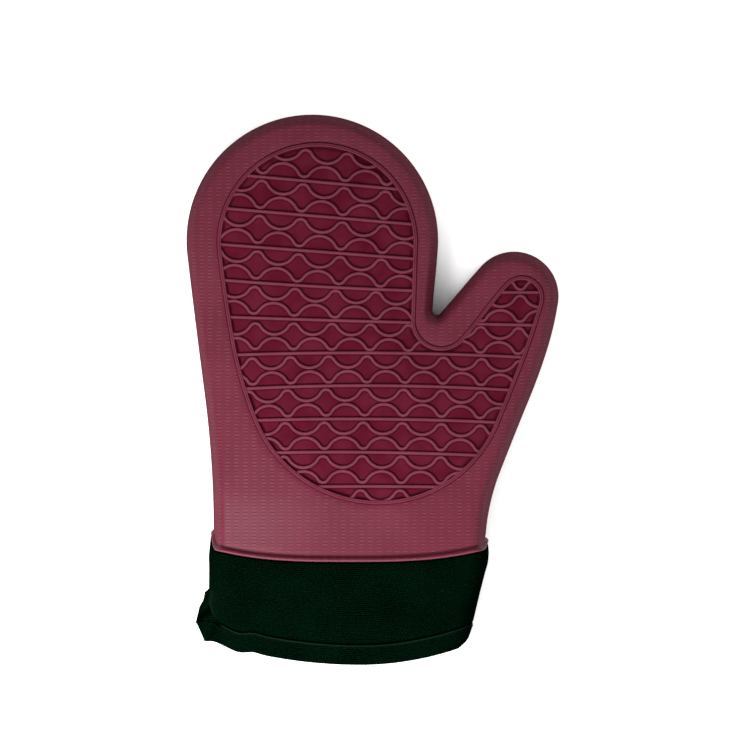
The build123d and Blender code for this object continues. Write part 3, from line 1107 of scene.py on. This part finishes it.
def section_loop(left, right, bottom, top, roll_left, roll_right):
    """Closed section of the cuff, evenly spread from the middle of its left side over the top."""
    half = (top - bottom) / 2
    level = (top + bottom) / 2
    insets, shares = roll_profile(1.0, cuff_roll_power, cuff_roll_rows)
    one = np.column_stack([left + roll_left * insets, level + half * shares])
    two = np.column_stack([right - roll_right * insets, level + half * shares])[::-1]
    upper = np.concatenate([one, two])
    lower = np.column_stack([upper[::-1, 0], 2 * level - upper[::-1, 1]])
    loop = np.concatenate([upper, lower[1:]])
    length = np.concatenate([[0], np.cumsum(np.hypot(*np.diff(loop, axis=0).T))])
    marks = np.linspace(0, length[-1], cuff_points, endpoint=False)
    return np.column_stack([np.interp(marks, length, loop[:, 0]), np.interp(marks, length, loop[:, 1])])


def crumple(x, y, z, level, below, left, flap_share):
    """Sideways flap, ridge, crease, dent and slack of the cuff at its points, and its painted shading:
    painted shade along the crease, painted highlight on the ridge.
    """
    near_left = portion((left + flap_zone - x) / flap_fade)
    reach = flap_share * np.maximum(left - np.interp(y, FLAP_Y, FLAP_X, left=left, right=left), 0)
    low = portion((flap_level - level) / flap_level_fade)
    moved_x = x - reach * low**2 * (3 - 2 * low) * near_left
    along = (CREASE_END - CREASE_START) / np.hypot(*(CREASE_END - CREASE_START))
    away = (moved_x - CREASE_START[0]) * along[1] - (y - CREASE_START[1]) * along[0]
    crease = bell(away, crease_width) * near_left * portion((crease_level - level) / crease_level_fade)
    slack = portion((below - slack_start) / slack_length)
    sway = np.array([noise.noise(Vector(place)) for place in np.column_stack([x, y, z]) * SWAY_SCALE])
    dent = np.exp(-(((x - DENT.x) / DENT.width) ** 2) - ((y - DENT.y) / DENT.length) ** 2)
    dent = DENT.depth * dent
    on_top = level > 0.5
    drop = crease_drop * crease + dent * on_top
    moved_z = z + sway_height * slack * sway * np.where(on_top, 1, sway_share_below) - drop
    flapped = portion(reach / flap_full_reach)
    ridge = bell(level - ridge_level, ridge_level_width) * flapped * near_left
    ridge *= portion((y - ridge_end_y) / ridge_fade)
    flap = flapped * near_left * portion((hem_level - level) / hem_level_fade)
    # The third value is painted shading: painted shade in the crease less a painted highlight on the ridge
    return moved_x, np.maximum(moved_z, floor_gap), crease - ridge_light * ridge, 1 - flap


def cuff_row(below, inset, edge_share=None):
    """One row of the cuff, at a depth below the wrist edge or a share of the way to the mouth."""
    depths = [section.below for section in CUFF_SECTIONS]
    sizes = [np.interp(below, depths, column) for column in zip(*CUFF_SECTIONS)][1:]
    left, right, bottom, top, roll_left, roll_right = sizes
    loop = section_loop(
        left + inset, right - inset, bottom + inset, top - inset, roll_left - inset, roll_right - inset
    )
    x, z = loop.T
    top_edge = wrist_edge(x, left + inset, right - inset)
    mouth = mouth_edge(x)
    if edge_share is None:
        y = top_edge - below
    else:
        y = top_edge + (mouth - top_edge) * edge_share
    level = portion((z - bottom) / (top - bottom))
    flap_share = 1.0 if inset <= cloth_thickness else facing_flap
    x, z, crease, hem_share = crumple(x, y, z, level, below, left + inset, flap_share)
    return CuffRow(np.column_stack([x, y, z]), crease, y - mouth, hem_share)


def cuff_depths(count):
    """Shares of the way from the wrist edge to the mouth, closer together near the edge and the hem."""
    even = np.linspace(0, 1, count)
    near_edge = np.array([0.003, 0.008, 0.014, 0.022, 0.035, 0.055])
    from_hem = np.array([2.0, 1.2, 0.8, 0.5, 0.2, -0.1, -0.4, -0.9, -1.5, -2.2])
    near_hem = 1 - (hem_depth + from_hem) / cuff_reach
    return np.unique(np.round(np.concatenate([even, near_edge, near_hem]), 4))


def hem_relief(to_mouth):
    """Height that the turned-up hem adds at distances from the mouth, and its painted shade line above the
    fold and painted highlight line below it.
    """
    step = portion((hem_depth + hem_edge / 2 - to_mouth) / hem_edge) * hem_step
    crease = bell(to_mouth - hem_depth - hem_edge, hem_edge)
    fold = bell(to_mouth - hem_depth + hem_fold_offset, hem_fold_width)
    dent = stitch_dent * bell(to_mouth - stitch_depth, stitch_dent_width)
    return step - hem_crease_depth * crease - dent, portion(crease) - hem_fold_light * fold


def outward(row):
    """Unit vectors out of the tube at a row of its points, across the arm."""
    along = np.roll(row, -1, axis=0) - np.roll(row, 1, axis=0)
    normal = np.column_stack([-along[:, 2], np.zeros(len(row)), along[:, 0]])
    return normal / np.linalg.norm(normal, axis=1)[:, None]


def cuff_face(surface, inset, shares, tuck_rows, hemmed):
    """Rows of one face of the cuff cloth, from its tucked top to its mouth."""
    rows = []
    around = cuff_around * np.abs(np.linspace(-0.5, 0.5, cuff_points, endpoint=False))
    for below in np.linspace(-tuck_length, 0, tuck_rows, endpoint=False):
        points = cuff_row(below, inset).points
        rows.append(surface.add(points, np.column_stack([around, np.full(len(points), -below)])))
    for share in shares:
        points, crease, to_mouth, hem_share = cuff_row(share * cuff_reach, inset, share)
        if hemmed:
            relief, hem_line = hem_relief(to_mouth)
            # Adds the hem's painted shade line and painted highlight line
            crease = crease + hem_line * hem_share
            points = points + outward(points) * (relief * hem_share)[:, None]
            points[:, 2] = np.maximum(points[:, 2], hem_floor_gap)
        plan = np.column_stack([around, np.full(len(points), -share * cuff_reach)])
        rows.append(surface.add(points, plan, crease))
    return rows


def cuff_layer(inset, thickness, shares, tuck_rows, hemmed):
    """One cloth of the cuff as a closed tube wall with a rounded mouth edge."""
    surface = Surface()
    outer = cuff_face(surface, inset, shares, tuck_rows, hemmed)
    inner = cuff_face(surface, inset + thickness, shares, tuck_rows, False)
    last = np.array([surface.points[k] for k in outer[-1]])
    under = np.array([surface.points[k] for k in inner[-1]])
    lip = (last + under) / 2 - np.array([0, 0.6 * thickness, 0])
    edge = surface.add(lip, [surface.plan[k] for k in outer[-1]])
    rows = outer + [edge] + inner[::-1]
    surface.strips(rows + rows[:1], closed=True)
    return surface


def hem_stitches(material):
    """Row of single stitches that holds the hem."""
    share = 1 - stitch_depth / cuff_reach
    row = cuff_row(share * cuff_reach, 0.0, share)
    relief, _ = hem_relief(row.to_mouth)
    line = row.points + outward(row.points) * (relief + 0.6 * stitch_radius)[:, None]
    line = np.concatenate([line, line[:1]])
    steps = np.linalg.norm(np.diff(line, axis=0), axis=1)
    length = np.concatenate([[0], np.cumsum(steps)])
    count = int(length[-1] / stitch_pitch)
    surface = Surface()
    for number in range(count):
        start = number * length[-1] / count
        marks = start + stitch_length * STITCH_SHARES
        middle = np.column_stack([np.interp(marks, length, line[:, k]) for k in range(3)])
        widths = stitch_radius * STITCH_WIDTHS
        along = np.gradient(middle, axis=0)
        along /= np.linalg.norm(along, axis=1)[:, None]
        one = np.cross(along, (0, 1, 0))
        one /= np.linalg.norm(one, axis=1)[:, None]
        two = np.cross(one, along)
        rings = []
        for k, width in enumerate(widths):
            angles = np.linspace(0, 2 * math.pi, stitch_sides, endpoint=False)
            circle = np.outer(np.cos(angles), one[k]) + np.outer(np.sin(angles), two[k])
            plan = np.column_stack([angles, np.full(stitch_sides, marks[k])])
            rings.append(surface.add(middle[k] + width * circle, plan))
        surface.strips(rings, closed=True)
        surface.faces.append(tuple(rings[0]))
        surface.faces.append(tuple(rings[-1]))
    piece = make_piece("hem_stitches", build_mesh(surface), material)
    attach(piece, "cuff")
    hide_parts("hem_thread")
    return piece


def build_layers(materials):
    """Shells, face cloths, batting and linings, each as palm and back, hand and thumb."""
    face_inset = shell_wall + layer_gap
    face_setback = tuck_length + layer_gap
    batting_inset = face_inset + cloth_thickness + layer_gap
    lining_inset = batting_inset + batting_thickness + layer_gap
    layers = [
        ("shell", "silicone", 0.0, shell_wall, wrist_lift, fill_step, SHELL_WRIST),
        ("face_cloth", "liner_face", face_inset, cloth_thickness, face_setback, flat_fill_step, None),
        ("batting", "batting", batting_inset, batting_thickness, liner_setback, flat_fill_step, None),
        ("lining", "lining", lining_inset, cloth_thickness, liner_setback, flat_fill_step, LINING_WRIST),
    ]
    for name, slot, inset, thickness, lift, step, profile in layers:
        for side, number in (("palm", 1), ("back", -1)):
            made = build_mesh(half_layer(number, inset, thickness, lift, step, profile))
            for part, body in zip(split_thumb(made), ("fingers", "thumb")):
                piece_name = f"{side}_{name}" + ("_thumb_part" if body == "thumb" else "")
                piece = make_piece(piece_name, part, materials[slot])
                bend_with_hand(piece)
                nodes = ["hand", "fingers"] if body == "fingers" else ["thumb"]
                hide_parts(*[f"{side}_{name}_{zone}" for zone in nodes])


def build_cuff(materials):
    """Outer cloth, facing and hem stitches of the cuff."""
    outer = cuff_layer(0.0, cloth_thickness, cuff_depths(cuff_rows), cuff_tuck_rows, True)
    facing_inset = cloth_thickness + layer_gap
    facing = cuff_layer(facing_inset, cloth_thickness, cuff_depths(facing_rows), 1, False)
    stitches = hem_stitches(materials["thread"])
    cuff = make_piece("cuff_cloth", build_mesh(outer), materials["cuff_cloth"])
    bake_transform(cuff)
    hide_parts("palm_cuff_tuck", "back_cuff_tuck", "palm_cuff_panel", "back_cuff_panel")
    inner = make_piece("cuff_facing", build_mesh(facing), materials["cuff_cloth"])
    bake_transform(inner)
    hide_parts("palm_cuff_facing", "back_cuff_facing")


# Stage
photo_width_px = 750
photo_scale = 0.5464
photo_middle = np.array([1.37, 7.65])
camera_distance = 8000.0
camera_plane = 20.0
camera_sensor = 36.0
camera_clip = 20.0
floor_size = 6.0
floor_z = -0.0003
floor_shade_reach = 0.05
room_light = 0.16
white = (1, 1, 1, 1)


def white_where_seen(tree, plain, bright):
    """Mix of two shaders: the white one where the camera, a reflection or glass looks at it."""
    path = node(tree, "LightPath").outputs
    seen = calc(tree, "MAXIMUM", path["Is Camera Ray"], path["Is Glossy Ray"])
    seen = calc(tree, "MAXIMUM", seen, path["Is Transmission Ray"])
    return node(tree, "MixShader", {0: seen, 1: plain, 2: bright}).outputs[0]


def stage_floor():
    """Pale floor that keeps a soft shadow: its lit paper shows the real shadow, and its white glow dims by
    ambient occlusion near the mitt, painted shade that deepens the gap between thumb and fingers.
    """
    mesh = bpy.data.meshes.new("floor")
    corners = [(floor_size * x, floor_size * y, floor_z) for x, y in ((-1, -1), (1, -1), (1, 1), (-1, 1))]
    mesh.from_pydata(corners, [], [(0, 1, 2, 3)])
    material = bpy.data.materials.new("floor")
    material.use_nodes = True
    tree = material.node_tree
    tree.nodes.clear()
    pale = node(tree, "BsdfDiffuse", {"Color": (0.5, 0.5, 0.5, 1)}).outputs[0]
    open_share = node(tree, "AmbientOcclusion", {"Distance": floor_shade_reach}, samples=8).outputs["AO"]
    # Glow dimmed where ambient occlusion is low: painted shade on the floor
    glow_with_painted_shade = ramp(tree, open_share, 0.155, 0.56, 0.0, 0.9)
    paper = node(tree, "BsdfDiffuse", {"Color": white}).outputs[0]
    glow = node(tree, "Emission", {"Color": white, "Strength": glow_with_painted_shade}).outputs[0]
    seen = node(tree, "AddShader", {0: paper, 1: glow}).outputs[0]
    node(tree, "OutputMaterial", {"Surface": white_where_seen(tree, pale, seen)})
    mesh.materials.append(material)
    floor = bpy.data.objects.new("floor", mesh)
    bpy.context.scene.collection.objects.link(floor)


def stage_light(name, place, size, power):
    """Soft area light that faces the mitt."""
    lamp = bpy.data.lights.new(name, "AREA")
    lamp.shape = "DISK"
    lamp.size = size
    lamp.energy = power
    light = bpy.data.objects.new(name, lamp)
    light.location = place
    light.rotation_mode = "QUATERNION"
    light.rotation_quaternion = (-Vector(place)).to_track_quat("-Z", "Y")
    bpy.context.scene.collection.objects.link(light)


def stage_world():
    """Even pale surroundings, white where they are seen."""
    world = bpy.data.worlds.new("surroundings")
    world.use_nodes = True
    tree = world.node_tree
    tree.nodes.clear()
    plain = node(tree, "Background", {"Color": white, "Strength": room_light}).outputs[0]
    bright = node(tree, "Background", {"Color": white, "Strength": 1.0}).outputs[0]
    node(tree, "OutputWorld", {"Surface": white_where_seen(tree, plain, bright)})
    bpy.context.scene.world = world


def stage_camera():
    """Camera straight above the palm, framed as the photograph is."""
    data = bpy.data.cameras.new("camera")
    data.sensor_width = camera_sensor
    data.lens = camera_sensor * camera_distance / (photo_width_px * photo_scale)
    data.clip_end = camera_clip
    camera = bpy.data.objects.new("camera", data)
    camera.location = (*(photo_middle * MM), (camera_distance + camera_plane) * MM)
    bpy.context.scene.collection.objects.link(camera)
    bpy.context.scene.camera = camera


cuff_light = (0.0005, 0.0106, 0.0044, 1)
cuff_dark = (0.0, 0.0006, 0.0001, 1)
finishes = {
    "silicone": silicone(),
    "liner_face": woven("liner_face", (0.6, 0.58, 0.54, 1), (0.42, 0.4, 0.37, 1), 0.9, 0.9, 0.9, 0.0002),
    "batting": felt(),
    "lining": woven("lining", (0.06, 0.07, 0.065, 1), (0.03, 0.036, 0.033, 1), 0.8, 0.8, 0.9, 0.0002),
    "cuff_cloth": woven("cuff_cloth", cuff_light, cuff_dark, 1.1, 0.8, 0.85, 0.0003),
    "thread": woven("thread", (0.003, 0.018, 0.010, 1), (0.001, 0.008, 0.004, 1), 0.6, 0.5, 0.7, 0.0001),
}
build_layers(finishes)
build_cuff(finishes)
stage_floor()
stage_world()
stage_light("key", place=(-0.32, -0.38, 0.46), size=0.24, power=3.2)
stage_light("sheen", place=(-0.20, -0.24, 0.60), size=0.16, power=1.6)
stage_light("fill", place=(1.4, 0.3, 0.9), size=1.2, power=5.0)
stage_camera()
bpy.context.scene.view_settings.view_transform = "Standard"
